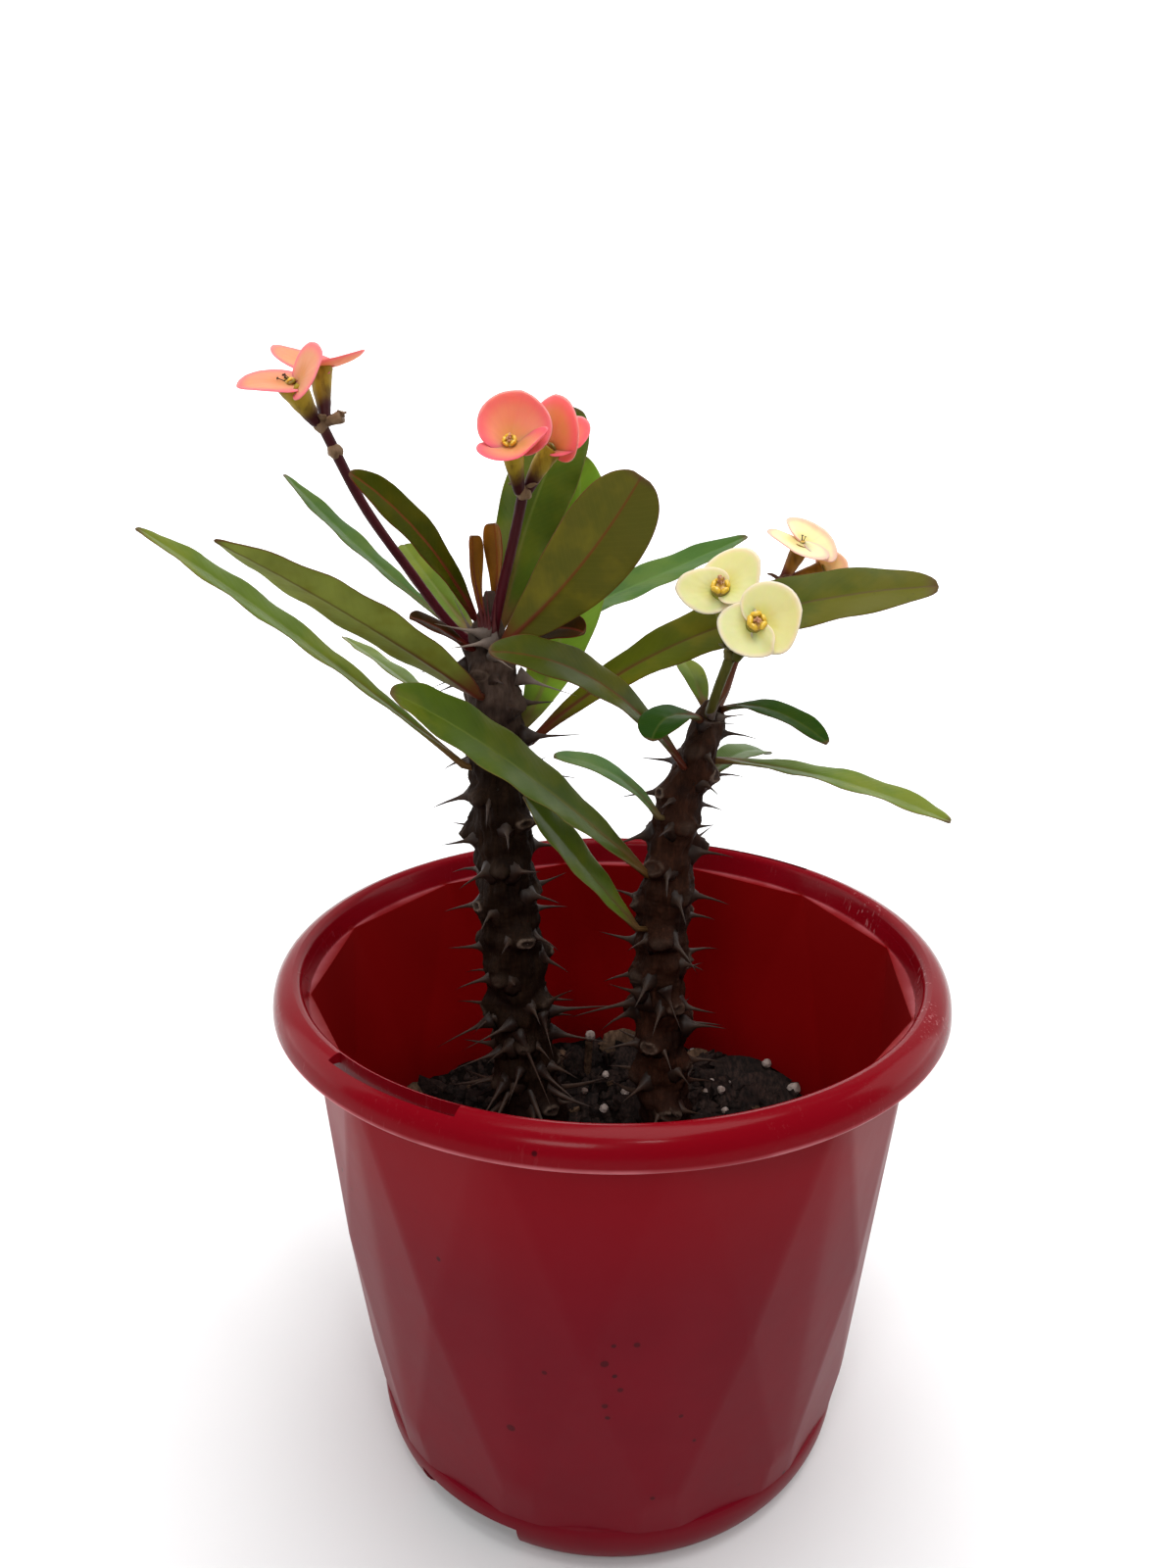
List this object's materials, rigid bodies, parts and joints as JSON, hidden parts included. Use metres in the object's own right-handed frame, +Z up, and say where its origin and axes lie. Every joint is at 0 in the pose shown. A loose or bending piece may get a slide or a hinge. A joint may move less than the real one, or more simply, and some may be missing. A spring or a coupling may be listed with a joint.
{
  "type": "crown of thorns plant in a pot",
  "caption": "Spiny two-stemmed succulent shrub with narrow leaves and paired round bracts, in a round plastic pot with a faceted wall.",
  "frame": {"origin": "middle of the pot's underside, on the surface it stands on", "axes": "+Z up along the pot's axis, -Y the front from which the taller, thicker stem stands on the left, +X to the right"},
  "size_m": [0.2223, 0.2, 0.3333],
  "materials": {
    "pot_plastic": "glossy moulded plastic, a little scuffed",
    "potting_mix": "rough dark mix with bark chips, grit and perlite",
    "stem_bark": "wrinkled grey-brown bark with pale leaf scars and grey thorns",
    "leaf": "smooth, half matt, with a fine midrib",
    "young_leaf": "smooth orange-red bud leaf",
    "flower_stalk": "smooth, olive to maroon",
    "bract_salmon": "waxy matt petal, salmon with pink edges",
    "bract_cream": "waxy matt petal, cream with faint pink edges",
    "nectar_gland": "wet-looking yellow glands"
  },
  "bodies": {
    "root": {"pot": "pot_plastic", "soil": "potting_mix", "left_stem": "stem_bark", "right_stem": "stem_bark", "left_leaf_01": "leaf", "left_leaf_02": "leaf", "left_leaf_03": "leaf", "left_leaf_04": "leaf", "left_leaf_05": "leaf", "left_leaf_06": "leaf", "left_leaf_07": "leaf", "left_leaf_08": "leaf", "left_leaf_09": "leaf", "left_leaf_10": "leaf", "left_leaf_11": "leaf", "left_leaf_12": "leaf", "left_leaf_13": "leaf", "left_leaf_14": "leaf", "right_leaf_01": "leaf", "right_leaf_02": "leaf", "right_leaf_03": "leaf", "right_leaf_04": "leaf", "right_leaf_05": "leaf", "right_leaf_06": "leaf", "right_leaf_07": "leaf", "right_leaf_08": "leaf", "right_leaf_09": "leaf", "left_bud_leaf_1": "young_leaf", "left_bud_leaf_2": "young_leaf", "peduncle_a": "flower_stalk", "peduncle_b": "flower_stalk", "peduncle_c": "flower_stalk", "peduncle_d": "flower_stalk", "bracts_a1": "bract_salmon", "bracts_a2": "bract_salmon", "bracts_b1": "bract_salmon", "bracts_b2": "bract_salmon", "bracts_c1": "bract_cream", "bracts_c2": "bract_cream", "bracts_d1": "bract_cream", "bracts_d2": "bract_cream", "nectar_cup_a1": "nectar_gland", "nectar_cup_a2": "nectar_gland", "nectar_cup_b1": "nectar_gland", "nectar_cup_b2": "nectar_gland", "nectar_cup_c1": "nectar_gland", "nectar_cup_c2": "nectar_gland", "nectar_cup_d1": "nectar_gland", "nectar_cup_d2": "nectar_gland"}
  },
  "joints": []
}
